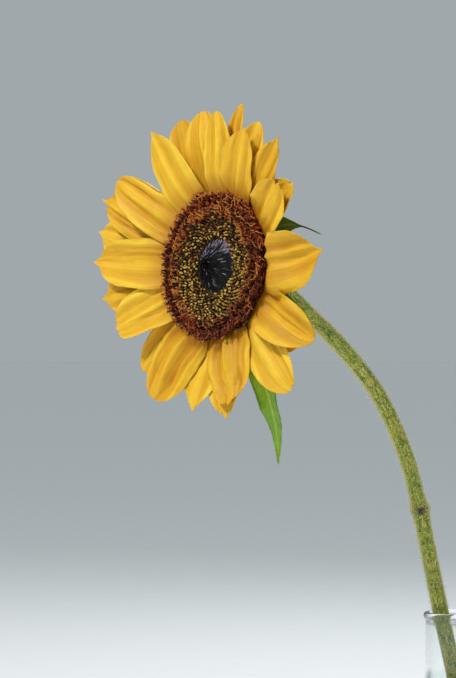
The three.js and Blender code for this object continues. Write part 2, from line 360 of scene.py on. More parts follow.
def bent_tube_template(path, radii, sides):
    """A small closed tube along a path of points."""
    path = np.asarray(path, float)
    along = unit(np.gradient(path, axis=0))
    across = unit(np.cross(along, [0.0, 1.0, 0.03]))
    circle = circles(across, np.cross(across, along), sides)
    rings = path[:, None, :] + circle * np.asarray(radii)[:, None, None]
    return template(rings[:, ::-1])


# ---------------- materials

def new_material(name, colour, roughness, **sockets):
    material = bpy.data.materials.new(name)
    material.use_nodes = True
    shader = material.node_tree.nodes["Principled BSDF"]
    shader.inputs["Base Color"].default_value = (*colour, 1)
    shader.inputs["Roughness"].default_value = roughness
    for socket, value in sockets.items():
        shader.inputs[socket.replace("_", " ")].default_value = value
    return material


class Paint:
    """Adds linked texture nodes to a material's Principled shader."""

    def __init__(self, material):
        self.tree = material.node_tree
        self.shader = self.tree.nodes["Principled BSDF"]

    def put(self, value, socket):
        """Fills a socket with a number, a vector, a colour or another node's output."""
        if isinstance(value, bpy.types.NodeSocket):
            self.tree.links.new(value, socket)
        else:
            socket.default_value = (*value, 1) if socket.type == "RGBA" else value

    def node(self, kind, output, sockets, **settings):
        """One output of a new node with its settings made and its sockets filled."""
        node = self.tree.nodes.new(kind)
        for key, value in settings.items():
            setattr(node, key, value)
        for socket, value in sockets.items():
            self.put(value, node.inputs[socket])
        return node.outputs[output]

    def coordinate(self, kind, scale=(1, 1, 1), offset=(0, 0, 0)):
        """Object coordinates, or those of a named map, stretched and then moved."""
        if kind == "Object":
            source = self.node("ShaderNodeTexCoord", "Object", {})
        else:
            source = self.node("ShaderNodeUVMap", "UV", {}, uv_map=kind)
        sockets = {"Vector": source, "Scale": scale, "Location": offset}
        return self.node("ShaderNodeMapping", "Vector", sockets)

    def part_of(self, label, axis):
        """One axis of a named map."""
        return self.node("ShaderNodeSeparateXYZ", axis, {"Vector": self.coordinate(label)})

    def math(self, operation, *values):
        return self.node("ShaderNodeMath", 0, dict(enumerate(values)), operation=operation)

    def from_middle(self):
        """Distance from the middle of the "Blade" map's width."""
        return self.math("ABSOLUTE", self.math("SUBTRACT", self.part_of("Blade", "X"), 0.5))

    def noise(self, place, scale, detail, roughness, distortion):
        sockets = {"Vector": place, "Scale": scale, "Detail": detail}
        sockets |= {"Roughness": roughness, "Distortion": distortion}
        return self.node("ShaderNodeTexNoise", "Fac", sockets)

    def grain(self, scale, detail=3.0, roughness=0.55):
        """Noise through the whole object."""
        return self.noise(self.coordinate("Object"), scale, detail, roughness, 0.0)

    def streaks(self, across, along, detail, roughness=0.6, distortion=0.0):
        """Noise on a blade or the stem, stretched along it."""
        return self.noise(self.coordinate("Blade", (across, along, 1)), 1.0, detail, roughness, distortion)

    def ramp(self, factor, stops):
        """A colour for each value of factor. A stop is its place and a colour, or a grey level."""
        node = self.tree.nodes.new("ShaderNodeValToRGB")
        elements = node.color_ramp.elements
        while len(elements) < len(stops):
            elements.new(0.5)
        for element, (position, colour) in zip(elements, stops):
            element.position = position
            element.color = (*colour, 1) if isinstance(colour, tuple) else (colour, colour, colour, 1)
        self.put(factor, node.inputs["Fac"])
        return node.outputs["Color"]

    def mix(self, factor, first, second, blend="MIX"):
        sockets = {0: factor, 6: first, 7: second}
        return self.node("ShaderNodeMix", 2, sockets, data_type="RGBA", blend_type=blend)

    def darken(self, base, strength, pattern, low, shade, high):
        """base multiplied by a shade where the pattern is at low, and left as it is at high."""
        return self.mix(strength, base, self.ramp(pattern, [(low, shade), (high, 1.0)]), "MULTIPLY")

    def colour(self, source):
        self.put(source, self.shader.inputs["Base Color"])

    def roughness(self, factor, low, high):
        sockets = {"Value": factor, "To Min": low, "To Max": high}
        self.put(self.node("ShaderNodeMapRange", "Result", sockets), self.shader.inputs["Roughness"])

    def bump(self, height, distance, strength=1.0):
        sockets = {"Height": height, "Distance": distance, "Strength": strength}
        self.put(self.node("ShaderNodeBump", "Normal", sockets), self.shader.inputs["Normal"])


# White where a fold's crest shows the crest colour, its own tone with a painted highlight, against the
# darker valley colour, its own tone with painted shade, and where a petal's foot shows its own.
CREST_STOPS = [(0.05, 0.0), (0.85, 1.0)]
FOOT_STOPS = [(0.0, 1.0), (0.1, 0.6), (0.34, 0.0)]


def petal_material(name, foot, valley, crest):
    """Satin petal: an orange foot, folds darkened by painted shade and crests brightened by a painted
    highlight over the pleats' own tones, and fine lengthwise streaks.
    """
    material = new_material(
        name, crest, 0.5, Subsurface_Weight=0.15, Subsurface_Scale=0.001, Specular_IOR_Level=0.2
    )
    paint = Paint(material)
    paint.shader.inputs["Subsurface Radius"].default_value = (1.0, 0.5, 0.1)
    # Painted light: the folds take the darker valley colour as painted shade, and the crests take the
    # brighter crest colour as a painted highlight.
    fold = paint.mix(paint.ramp(paint.part_of("Crest", "X"), CREST_STOPS), valley, crest)
    foot_share = paint.ramp(paint.part_of("Blade", "Y"), FOOT_STOPS)
    base = paint.mix(foot_share, fold, foot)
    blotch = paint.grain(130.0)
    colour = paint.darken(base, 0.55, paint.streaks(34, 1.6, 4.0), 0.34, (0.82, 0.66, 0.42), 0.6)
    paint.colour(paint.darken(colour, 0.5, blotch, 0.3, (0.86, 0.78, 0.6), 0.62))
    paint.roughness(blotch, 0.42, 0.62)
    paint.bump(paint.streaks(110, 3.0, 2.0), 0.00012, 0.6)
    return material


def leafy_material(name, dark, light, vein, veins_across=0.0, gloss=0.5):
    """Leaf green: a pale midrib, side veins that slant to the tip, and fine pores."""
    material = new_material(name, dark, gloss, Subsurface_Weight=0.1, Subsurface_Scale=0.001)
    paint = Paint(material)
    grain = paint.grain(420.0, 4.0)
    base = paint.ramp(paint.grain(90.0, 2.0), [(0.35, dark), (0.65, light)])
    from_rib = paint.from_middle()
    rib = paint.ramp(from_rib, [(0.0, 1), (0.035, 0.8), (0.07, 0)])
    colour = paint.mix(rib, base, vein)
    if veins_across:
        slant = paint.math("MULTIPLY_ADD", from_rib, -0.55, paint.part_of("Blade", "Y"))
        wave = paint.math("SINE", paint.math("MULTIPLY", slant, veins_across * 2 * math.pi))
        lines = paint.ramp(wave, [(0.8, 0), (1.0, 0.3)])
        colour = paint.mix(lines, colour, vein)
    paint.colour(paint.darken(colour, 0.6, grain, 0.35, (0.72, 0.78, 0.66), 0.65))
    paint.roughness(grain, gloss - 0.1, gloss + 0.15)
    paint.bump(grain, 0.0002, 0.5)
    return material


def stem_material(scar):
    """Yellow-green skin with dark mottling, a painted highlight in pale tan along both sides as seen from
    the front, and a brown leaf scar.
    """
    material = new_material("stem_skin", (0.32, 0.38, 0.08), 0.6, Specular_IOR_Level=0.25)
    paint = Paint(material)
    broad = paint.streaks(5, 9.0, 3.0, 0.6, 0.4)
    dashes = paint.streaks(26, 34.0, 4.0, 0.65, 0.3)
    narrow = paint.streaks(34, 7.0, 3.0)
    specks = paint.grain(1500.0, 2.0, 0.6)
    base = paint.ramp(
        broad,
        [(0.34, (0.16, 0.25, 0.012)), (0.46, (0.33, 0.40, 0.022)),
         (0.56, (0.48, 0.47, 0.045)), (0.68, (0.62, 0.54, 0.12))],
    )
    colour = paint.darken(base, 0.9, dashes, 0.42, (0.22, 0.30, 0.10), 0.54)
    # Painted highlight: a pale tan band along both sides of the stem as seen from the front, where the
    # hairs catch the light.
    edge = paint.ramp(paint.from_middle(), [(0.10, 0.85), (0.27, 0.0)])
    colour = paint.mix(edge, colour, (0.66, 0.60, 0.20))
    colour = paint.darken(colour, 0.7, narrow, 0.38, (0.55, 0.50, 0.28), 0.58)
    pale = paint.ramp(specks, [(0.54, 0.0), (0.66, 0.75)])
    colour = paint.mix(pale, colour, (0.74, 0.76, 0.34))
    stretch = (1 / SCAR_HALF_WIDTH, 1 / SCAR_HALF_HEIGHT, 0)
    middle = (0, -scar / STEM_MAP_LENGTH / SCAR_HALF_HEIGHT, 0)
    spot = paint.coordinate("Blade", stretch, middle)
    from_scar = paint.node("ShaderNodeVectorMath", "Value", {0: spot}, operation="LENGTH")
    scarred = paint.ramp(from_scar, [(0.55, 0.9), (1.0, 0.0)])
    paint.colour(paint.mix(scarred, colour, (0.045, 0.018, 0.006)))
    paint.roughness(narrow, 0.5, 0.72)
    paint.bump(specks, 0.0003, 0.7)
    return material


def grainy_material(name, dark, light, roughness):
    """A plain colour with a fine grain, for small parts."""
    material = new_material(name, dark, roughness, Specular_IOR_Level=0.3)
    paint = Paint(material)
    grain = paint.grain(900.0)
    paint.colour(paint.ramp(grain, [(0.35, dark), (0.65, light)]))
    paint.bump(grain, 0.00015, 0.5)
    return material


# ---------------- blades

class Blade:
    """The middle surface of a CAD blade: its centre line, half-width and cup at each row."""

    def __init__(self, node):
        first, rings, last = loft_rings(node, BLADE_SIDES)
        axis_distance = [self.from_axis(end) for end in (first, last)]
        if axis_distance[0] > axis_distance[1]:
            first, rings, last = last, rings[::-1], first
        centres, sides, cups = [first], [], []
        for ring in rings:
            half = BLADE_SIDES // 2
            spans = [np.linalg.norm(ring[i] - ring[i + half]) for i in range(half)]
            i = int(np.argmax(spans))
            quarter = BLADE_SIDES // 4
            left, right = ring[i], ring[i + half]
            middle = (ring[i + quarter] + ring[(i + half + quarter) % BLADE_SIDES]) / 2
            side = (right - left) / 2
            heading = middle - centres[-1] if len(centres) > 1 else last - first
            facing = side @ sides[-1] if sides else np.cross(heading, side) @ HEAD.normal
            if facing < 0:
                side = -side
            centres.append(middle)
            sides.append(side)
            cups.append((left + right) / 2 - middle)
        centres.append(last)
        walked = distances(centres)
        self.share = walked / walked[-1]
        self.centres = np.array(centres)
        widths = np.linalg.norm(sides, axis=1)
        self.side = unit(np.array([sides[0], *sides, sides[-1]]))
        heading = unit(np.gradient(self.centres, self.share, axis=0))
        self.facing = unit(np.cross(heading, self.side))
        self.half_width = np.concatenate([[widths[0]], widths, [0.0]])
        self.cup = np.array([cups[0], *cups, np.zeros(3)])
        self.widest = self.half_width.max()

    @staticmethod
    def from_axis(point):
        away = point - HEAD.centre
        return np.linalg.norm(away - (away @ HEAD.normal) * HEAD.normal)

    def width_at(self, share):
        """Half-width along the blade. Its square runs almost straight to the round tip."""
        return np.sqrt(np.maximum(np.interp(share, self.share, self.half_width**2), 0))

    def grid(self, rows, columns, convergence, end_trim=None, base_flare=1.0):
        """Points of the surface, where each faces, and its across (-1 to 1) and along (0 to 1).

        Lines along the blade end on its margin, and draw together towards the tip by the
        share that convergence gives. end_trim(across) shortens lines, for notches."""
        across = np.sin(np.linspace(-1, 1, columns) * np.pi / 2) * 0.45
        across += np.linspace(-1, 1, columns) * 0.55
        table = np.linspace(0, 1, 400)
        width = self.width_at(table) / self.widest
        peak = table[int(np.argmax(width))]
        closing = np.where(table < peak, 1.0, width)
        keeps = np.maximum(closing, 0) ** (1 - convergence)
        ends = np.interp(-np.abs(across), -keeps, table)
        ends = np.where(np.abs(across) > 0.999, peak, ends)
        if end_trim is not None:
            ends = ends - end_trim(across)
        pace = np.linspace(0, 1, rows)
        pace = 0.75 * pace + 0.25 * np.sin(pace * np.pi / 2)
        along = pace[:, None] * ends[None, :]
        reach = np.where(
            along < peak,
            self.width_at(along),
            self.widest * np.interp(along, table, closing) ** convergence,
        )
        flare = 1 + (base_flare - 1) * clamp(1 - along / 0.45)
        offset = across[None, :] * reach * flare
        share_across = offset / np.maximum(self.width_at(along), 1e-5)
        lift = np.clip(share_across, -1, 1)[..., None] ** 2

        def on_grid(values):
            return smooth_interp(along.ravel(), self.share, values).reshape(rows, columns, 3)

        points = on_grid(self.centres) + unit(on_grid(self.side)) * offset[..., None]
        points += on_grid(self.cup) * lift
        return points, unit(on_grid(self.facing)), np.broadcast_to(across, along.shape), along


def spread(field, steps):
    """The greatest value within a few steps of each place of a grid."""
    for _ in range(steps):
        padded = np.pad(field, 1, mode="edge")
        beside = (padded[:-2, 1:-1], padded[2:, 1:-1], padded[1:-1, :-2], padded[1:-1, 2:])
        field = np.maximum(field, np.max(beside, axis=0))
    return field


def blur(field, passes=6):
    """The grid after a few passes of averaging with its neighbours."""
    edges = ((1, 1), (1, 1)) + ((0, 0),) * (field.ndim - 2)
    for _ in range(passes):
        padded = np.pad(field, edges, mode="edge")
        beside = padded[:-2, 1:-1] + padded[2:, 1:-1] + padded[1:-1, :-2] + padded[1:-1, 2:]
        field = (beside + 2 * field) / 6
    return field


def grid_normals(points, facing):
    """Smoothed unit normals of a grid of points, on the side that facing gives."""
    normal = unit(np.cross(np.gradient(points, axis=1), np.gradient(points, axis=0)))
    agree = np.sum(normal * facing, axis=-1, keepdims=True)
    normal = np.where(np.abs(agree) > 0.2, normal * np.sign(agree), facing)
    return unit(blur(normal, 3))


def sheet_piece(name, points, facing, thickness, across, along, crest=None):
    """A closed sheet about a grid of points. Its margin thins to an edge."""
    normal = grid_normals(points, facing)
    thin = np.sqrt(np.clip(1.04 - np.abs(across) ** 6, 0.04, 1))
    half = (thickness / 2 * thin)[..., None] * normal
    maps = {"Blade": np.stack([(across + 1) / 2, along], -1)}
    if crest is not None:
        maps["Crest"] = np.stack([crest, along], -1)
    return shell(name, points + half, points - half, maps)


def waves(count, low, high, rng, amplitude):
    """A random smooth function of one variable on 0 to 1."""
    frequency = rng.uniform(low, high, count)
    phase = rng.uniform(0, 2 * np.pi, count)
    size = amplitude * rng.uniform(0.4, 1, count) / count

    def value(x):
        return sum(a * np.sin(2 * np.pi * f * x + p) for a, f, p in zip(size, frequency, phase))

    return value


# What sets petals apart, by number. Margins roll forwards (+) or back (-) on the clockwise and
# the anticlockwise side, a fold sinks along the middle, a bulge swells above the foot and a
# tip bends forwards, all in millimetres. Ridges scales the pleats. Point is the share of the
# length by which the middle of the tip stands out, and teeth the depth of the notches beside it.
PETAL_STYLE = {
    1: dict(margins=(-2.5, 3.0), tip=3.0, bulge=5.0, fold=2.4, point=0.12, teeth=0.0),
    2: dict(margins=(2.0, 2.5), fold=1.0, teeth=0.05, point=0.04),
    3: dict(teeth=0.06, tip=1.0, ridges=0.8, margins=(0.8, 2.2)),
    4: dict(margins=(-1.0, 3.2), fold=1.6, point=0.08, ridges=1.2),
    5: dict(ridges=1.1),
    6: dict(ridges=0.7, margins=(0.0, 1.4), fold=0.7),
    7: dict(fold=0.8, teeth=0.0, point=0.0),
    8: dict(ridges=1.3, point=0.0, teeth=0.02),
    9: dict(ridges=1.3, teeth=0.02, point=0.0),
    10: dict(ridges=0.9, point=0.0, teeth=0.03),
    11: dict(ridges=0.6, margins=(0.8, -0.6), point=0.05),
    12: dict(ridges=1.5, pleats=5.2, margins=(0.6, 2.0), point=0.0),
    13: dict(ridges=1.1, point=0.09, teeth=0.03),
    14: dict(margins=(0.5, 3.0), point=0.09),
    15: dict(ridges=1.0, margins=(0.6, 1.2), point=0.10, fold=0.9),
    16: dict(margins=(1.0, 1.0), point=0.10),
    17: dict(ridges=1.4, margins=(1.0, 3.4), point=0.03, teeth=0.03),
    18: dict(ridges=0.6),
    19: dict(ridges=2.5, pleats=5.6, margins=(-1.2, -1.5), point=0.0),
    20: dict(ridges=0.8, margins=(2.6, 0.4), point=0.08),
    21: dict(ridges=0.8, teeth=0.05, point=0.05),
    22: dict(ridges=2.1, pleats=6.4, tip=3.4, margins=(-0.8, -0.6), point=0.06),
    23: dict(ridges=0.9, margins=(2.4, -1.2), bulge=2.6, teeth=0.04, point=0.0),
    24: dict(margins=(1.2, 1.2)),
    25: dict(margins=(2.2, 6.0), fold=3.0, tip=-1.5, point=0.0, teeth=0.03),
}


def petal_relief(across, along, rng, style):
    """Height of a petal's face above its blade, and how near each place is to a fold's crest, which sets
    the painted highlight and painted shade of its colour.
    """
    strength = style.get("ridges", 0.9)
    centre_fade = clamp(1 - np.abs(across) ** 3)
    rise = clamp(along / 0.18) * clamp((1.02 - along) / 0.3)
    drift = waves(3, 0.3, 0.9, rng, 0.22)(along)
    uneven = across + drift + waves(2, 0.3, 0.7, rng, 0.35)(across)
    wide = np.cos(np.pi * 2.2 * (across + drift * 0.5) + rng.uniform(-0.8, 0.8))
    pleats = style.get("pleats", rng.uniform(3.2, 4.6))
    pleat = np.cos(np.pi * pleats * uneven + rng.uniform(0, 6.28))
    pleat = 1 - 2 * np.sqrt((1 - pleat) / 2)
    pleat = pleat * (0.7 + waves(3, 0.5, 1.6, rng, 1.2)(across + 0.6 * along))
    fine = np.cos(np.pi * 15 * (uneven + 0.4 * drift) + rng.uniform(0, 6.28))
    fine = fine * (0.6 + waves(3, 0.6, 2.0, rng, 1.2)(across - 0.5 * along))
    mass = 0.36 * wide + 0.30 * pleat + 0.07 * fine
    height = 1.9 * mass * strength * centre_fade * rise
    crest = clamp(0.5 + 0.75 * mass * (0.4 + 0.6 * rise))
    left, right = style.get("margins", (0.0, 0.0))
    roll = clamp((np.abs(across) - 0.25) / 0.75) ** 2
    body = clamp(along / 0.3) * clamp(1.6 - along)
    height += np.where(across < 0, left, right) * roll * body
    height -= style.get("fold", 0.0) * bell(across, 0.22) * rise
    height += style.get("bulge", 0.0) * bell(along - 0.24, 0.15) * centre_fade
    height += style.get("tip", 0.0) * clamp((along - 0.72) / 0.28) ** 2
    height += waves(3, 0.6, 1.6, rng, 1.1)(along) * clamp(along / 0.3)
    edge = clamp((np.abs(across) - 0.55) / 0.45) ** 2
    height += edge * waves(4, 1.5, 4.5, rng, 1.5)(along + 0.13 * np.sign(across)) * rise
    # The rolled margins take the crest colour too, as a painted highlight.
    crest = clamp(crest + 0.5 * edge * (0.3 + along))
    return height * MM, crest


def petal_tip(style, rng):
    """How much shorter a petal's lines are than its middle one, which shapes the tip."""
    point = style.get("point", rng.uniform(0.0, 0.06))
    depth = style.get("teeth", rng.uniform(0.0, 0.02))
    places = rng.uniform(0.2, 0.36, 2) * np.array([-1, 1])

    def trim(across):
        shoulder = point * (1 - bell(across, 0.22))
        cuts = depth * sum(bell(across - place, 0.07) for place in places)
        return (shoulder + cuts) * (1 - np.abs(across) ** 4)

    return trim


class Pile:
    """Keeps the petals from running through one another: the lowest face so far, by place."""

    CELL = 0.8 * MM
    REACH = 110 * MM
    GAP = 0.35 * MM

    def __init__(self):
        self.size = int(2 * self.REACH / self.CELL)
        self.lowest = np.full((self.size, self.size), np.inf)

    def cells(self, points):
        away = points - HEAD.centre
        u, v = (
            ((away @ axis + self.REACH) / self.CELL).astype(int).clip(1, self.size - 2)
            for axis in (HEAD.right, HEAD.top)
        )
        return u, v, away @ HEAD.normal

    def settle(self, points):
        """Points pushed back behind the pile, smoothly, and added to it."""
        u, v, height = self.cells(points)
        room = self.lowest[u, v] - self.GAP - height
        push = np.where(np.isfinite(room), np.maximum(-room, 0), 0)
        push = np.minimum(push, 5 * MM)
        wide = spread(push, 3)
        for _ in range(3):
            wide = np.maximum(blur(wide), push)
        points = points - HEAD.normal * blur(wide)[..., None]
        u, v, height = self.cells(points)
        for du in (-1, 0, 1):
            for dv in (-1, 0, 1):
                np.minimum.at(self.lowest, (u + du, v + dv), height)
        return points


def make_petals(front, back):
    """Every ray petal, one piece for each CAD blade, from the front of the flower backwards."""
    names = sorted(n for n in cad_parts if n.startswith("petal_"))
    blades = {node: Blade(node) for node in names}
    depth = {node: (blades[node].centres[0] - HEAD.centre) @ HEAD.normal for node in names}
    pile = Pile()
    for node in sorted(names, key=lambda n: -round(depth[n] / MM, 1)):
        number = names.index(node) + 1
        rng = np.random.default_rng(SEED * 100 + number)
        style = PETAL_STYLE[number]
        points, facing, across, along = blades[node].grid(
            PETAL_ROWS, PETAL_COLUMNS, 0.55, petal_tip(style, rng), 1.5
        )
        height, crest = petal_relief(across, along, rng, style)
        points = pile.settle(points + facing * height[..., None])
        piece = sheet_piece(f"ray_{node}", points, facing, PETAL_THICKNESS, across, along, crest)
        finish_piece(piece, [front[number % len(front)], back], [node])


# By number: bracts that bend sideways (anticlockwise +, in millimetres), those that stay short
# (as a share of the CAD blade), and those whose outer half thins out into a tendril.
BRACT_BEND = {2: -15.0}
BRACT_SHARE = {1: 0.82, 3: 0.85, 9: 0.72, 17: 0.72, 19: 0.7}
TENDRILS = {2}


def make_bracts(face, underside):
    names = sorted(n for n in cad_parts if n.startswith("bract_"))
    for number, node in enumerate(names, 1):
        rng = np.random.default_rng(SEED * 200 + number)
        blade = Blade(node)
        points, facing, across, along = blade.grid(BRACT_ROWS, BRACT_COLUMNS, 0.75)
        bend_aside = BRACT_BEND.get(number, rng.uniform(-2.5, 2.5)) * MM
        points = points + bend_aside * along[..., None] ** 2 * blade.side[2]
        if number in TENDRILS:
            middle = points.shape[1] // 2
            width = 0.06 + 0.94 * clamp((0.68 - along[:, middle]) / 0.2)
            spine = points[:, middle][:, None]
            points = spine + (points - spine) * width[:, None, None]
        foot = blade.centres[0]
        points = foot + (points - foot) * BRACT_SHARE.get(number, 1.0)
        rib = -0.35 * bell(across, 0.12) * clamp(1.1 - along)
        bend = waves(2, 0.5, 1.2, rng, 1.6)(along) * along
        ripple = np.abs(across) ** 2 * waves(3, 1.5, 3.5, rng, 1.0)(along) * along
        points = points + facing * ((rib + bend + ripple) * MM)[..., None]
        piece = sheet_piece(f"leafy_{node}", points, facing, BRACT_THICKNESS, across, along)
        finish_piece(piece, [face, underside], [node])


def make_leaf(face, underside):
    rng = np.random.default_rng(SEED * 300)
    points, facing, across, along = Blade("hanging_leaf").grid(LEAF_ROWS, LEAF_COLUMNS, 0.8)
    rib = -0.55 * bell(across, 0.07) * clamp(1.15 - along)
    slant = along - 0.16 * np.abs(across)
    veins = -0.16 * bell(np.sin(np.pi * 11 * slant), 0.3) * np.abs(across) ** 0.4
    bend = waves(3, 0.5, 1.4, rng, 2.0)(along) * clamp(along * 3)
    ripple = np.abs(across) ** 2 * waves(4, 2.0, 5.0, rng, 1.8)(along)
    points = points + facing * ((rib + veins + bend + ripple) * MM)[..., None]
    piece = sheet_piece("leaf_blade", points, facing, LEAF_THICKNESS, across, along)
    finish_piece(piece, [face, underside], ["hanging_leaf"])


# ---------------- disk

def disk_zones():
    """Outer radius of the eye, of the buds and of the open florets, from their CAD rings."""
    return [HEAD.radii_and_heights(n)[0].max() for n in ("eye_florets", "bud_florets", "open_florets")]


def open_border(angle):
    """Radius at which the florets have opened: further out towards the bottom of the head."""
    return disk_zones()[1] + (1.0 - 1.0 * np.sin(angle)) * MM


def disk_top():
    """Height of the disk's face at a radius, as a function."""
    found = {}
    for node in ("eye_florets", "bud_florets", "open_florets"):
        radius, height = HEAD.radii_and_heights(node)
        for r, h in zip(np.round(radius / MM, 1), height):
            found[r] = max(found.get(r, -1.0), h)
    radii = np.array(sorted(found))
    heights = np.array([found[r] for r in radii])
    return lambda radius: np.interp(radius / MM, radii, heights)


def spiral():
    """Radii and angles of every floret, on one golden-angle spiral with a finer eye."""
    eye, _, outer = disk_zones()
    inner_count = int((eye / EYE_SPACING) ** 2)
    outer_count = int((outer**2 - eye**2) / FLORET_SPACING**2)
    inner = EYE_SPACING * np.sqrt(np.arange(inner_count) + 0.5)
    rest = np.sqrt(eye**2 + FLORET_SPACING**2 * (np.arange(outer_count) + 0.5))
    radius = np.concatenate([inner, rest])
    return radius, GOLDEN_ANGLE * np.arange(len(radius))


def florets(inner, outer):
    """Radii and angles of the florets between two borders."""
    radius, angle = spiral()
    chosen = (radius > inner(angle)) & (radius <= outer(angle))
    return radius[chosen], angle[chosen]


def clumps(angle):
    """How far the ring's rim sticks out (to 1) or draws in (to -1)."""
    waves_round = ((7, 0.1), (12, 0.6), (19, 0.3))
    around = (angle / (2 * np.pi)) % 1
    return sum(np.sin(2 * np.pi * (count * around + start)) for count, start in waves_round) / 3


def floret_axes(angle, lean, spin, sideways):
    """x, y and z axes of florets that lean outwards in the plane of the disk."""
    out = HEAD.right * np.cos(angle)[:, None] + HEAD.top * np.sin(angle)[:, None]
    aside = np.cross(HEAD.normal, out)
    up = HEAD.normal * np.cos(lean)[:, None] + out * np.sin(lean)[:, None]
    up = unit(up + aside * sideways[:, None])
    x = unit(out * np.cos(spin)[:, None] + aside * np.sin(spin)[:, None])
    y = unit(np.cross(up, x))
    return np.stack([np.cross(y, up), y, up], 1)


def stigma_template(reach, curl):
    """Two arms that part and curl back, as one template."""
    turn = np.linspace(0, curl, 7)
    radii = np.linspace(0.21, 0.1, 7) * MM
    parts = []
    for sign in (-1, 1):
        path = np.stack([sign * reach * (1 - np.cos(turn)), np.zeros(7), reach * np.sin(turn)], -1)
        path[:, 0] += sign * 0.05
        path[:, 2] += 0.35 * clamp(turn)
        parts.append(bent_tube_template(path * MM, radii, 4))
    size = len(parts[0][0])
    return (
        np.concatenate([parts[0][0], parts[1][0]]),
        np.concatenate([parts[0][1], parts[1][1] + size]),
    )


def ring_tint_with_painted_light(rng, angle, order):
    """A colour for each floret of the ring, at random but with lighter ones oftener at the top left of the
    head, as painted light on the side that faces the key lamp.
    """
    # Painted light: a random tone plus a bias by angle towards the lighter shades at the top left.
    tone_and_painted_light = rng.random(len(angle)) + 0.22 * np.cos(angle - 2.0)
    return np.array(order)[np.searchsorted([0.32, 0.62], tone_and_painted_light)]


def make_open_florets(materials):
    """The outer ring: tubular corollas with curled lobes, dark anther tubes and stigmas."""
    _, _, disk_radius = disk_zones()
    rng = np.random.default_rng(SEED + 1)
    radius, angle = florets(open_border, lambda a: disk_radius * (0.975 + 0.035 * clumps(a)))
    count = len(radius)
    share = (radius - open_border(angle)) / (disk_radius - open_border(angle))
    lean = np.radians(2 + (32 + 9 * clumps(angle)) * share**1.6 + rng.normal(0, 11, count))
    axes = floret_axes(angle, lean, rng.uniform(0, 6.28, count), rng.normal(0, 0.2, count))
    height = FLORET_HEIGHT + rng.normal(0, 0.5, count) * MM
    tip = HEAD.place(radius, angle, disk_top()(radius) + rng.normal(0, 0.3 * MM, count) - 0.6 * MM)
    foot = tip - axes[:, 2] * height[:, None]
    scale = height / FLORET_HEIGHT

    profile = [(0.3, 0), (0.42, 1.4), (0.62, 2.9), (0.58, 3.7), (0.85, 4.4), (0.5, 4.15), (0.12, 3.2)]
    shapes = [turned_template(profile, 10, {4: lobe}) for lobe in ((1.5, -0.4), (1.8, 0.4))]
    corollas = Copies()
    shuffled = rng.permutation(count)
    for kind, shape in enumerate(shapes):
        mine = shuffled[kind::2]
        tint = ring_tint_with_painted_light(rng, angle[mine], [2, 0, 1])
        corollas.add(shape, foot[mine], axes[mine], scale[mine], tint)
    piece = corollas.mesh("disk_corollas")
    finish_piece(piece, materials["corolla"], ["open_florets"])

    tube_profile = [(0.34, 3.2), (0.42, 4.4), (0.4, 5.5), (0.16, 6.1)]
    anther = turned_template(tube_profile, 6)
    anthers = Copies()
    gold = rng.random(count) < 0.55 * clamp(1 - share / 0.45)
    tint = np.where(gold, 2, rng.integers(0, 2, count))
    anthers.add(anther, foot, axes, scale * rng.uniform(0.88, 1.1, count), tint)
    finish_piece(anthers.mesh("disk_anthers"), materials["anther"])

    stigmas = Copies()
    head_of_tube = foot + axes[:, 2] * (5.7 * MM * scale)[:, None]
    kinds = [stigma_template(0.7, 3.5), stigma_template(0.9, 2.6), stigma_template(0.55, 4.3)]
    pick = rng.integers(0, len(kinds), count)
    shows = rng.random(count) < 0.55 + 0.4 * share
    for kind, shape in enumerate(kinds):
        mine = np.flatnonzero((pick == kind) & shows)
        stigmas.add(
            shape, head_of_tube[mine], axes[mine], rng.uniform(0.75, 1.3, len(mine)),
            ring_tint_with_painted_light(rng, angle[mine], [2, 0, 1]),
        )
    finish_piece(stigmas.mesh("disk_stigmas"), materials["stigma"])


def make_bud_florets(materials):
    """The middle ring: closed florets with dark bodies and yellow tips."""
    eye_radius, _, _ = disk_zones()
    rng = np.random.default_rng(SEED + 2)
    radius, angle = florets(lambda a: eye_radius - 0.3 * MM, lambda a: open_border(a) + 0.2 * MM)
    count = len(radius)
    share = (radius - eye_radius) / (open_border(angle) - eye_radius)
    lean = np.radians(-12 + 20 * share + rng.normal(0, 8, count))
    axes = floret_axes(angle, lean, rng.normal(1.57, 0.7, count), rng.normal(0, 0.2, count))
    top = disk_top()(radius) + rng.normal(0, 0.35 * MM, count) + 0.2 * MM
    foot = HEAD.place(radius, angle, top) - axes[:, 2] * BUD_HEIGHT
    profile = [(0.32, 0.0), (0.44, 1.2), (0.54, 2.3), (0.48, 2.9), (0.34, 3.35), (0.06, 3.75)]
    points, faces = turned_template(profile, 10, {4: (0.72, 0.12)})
    shape = (points * [1.3, 0.78, 1.0], faces)
    is_tip = points[faces].mean(1)[:, 2] > 2.9 * MM
    # Painted shade: tips towards the top of the head, more so further out, draw the darker shades oftener
    # (rust, olive and the body colour). The rest of the spread is random.
    tone_and_painted_light = rng.random(count) - 0.26 * np.sin(angle) * share
    tips = np.array([0, 4, 3, 1, 2])[np.searchsorted([0.12, 0.32, 0.48, 0.74], tone_and_painted_light)]
    flags = np.where(is_tip[None, :], tips[:, None], 0)
    buds = Copies()
    buds.add(shape, foot, axes, rng.uniform(0.9, 1.12, count), flags)
    finish_piece(buds.mesh("disk_buds"), materials["bud"], ["bud_florets"])


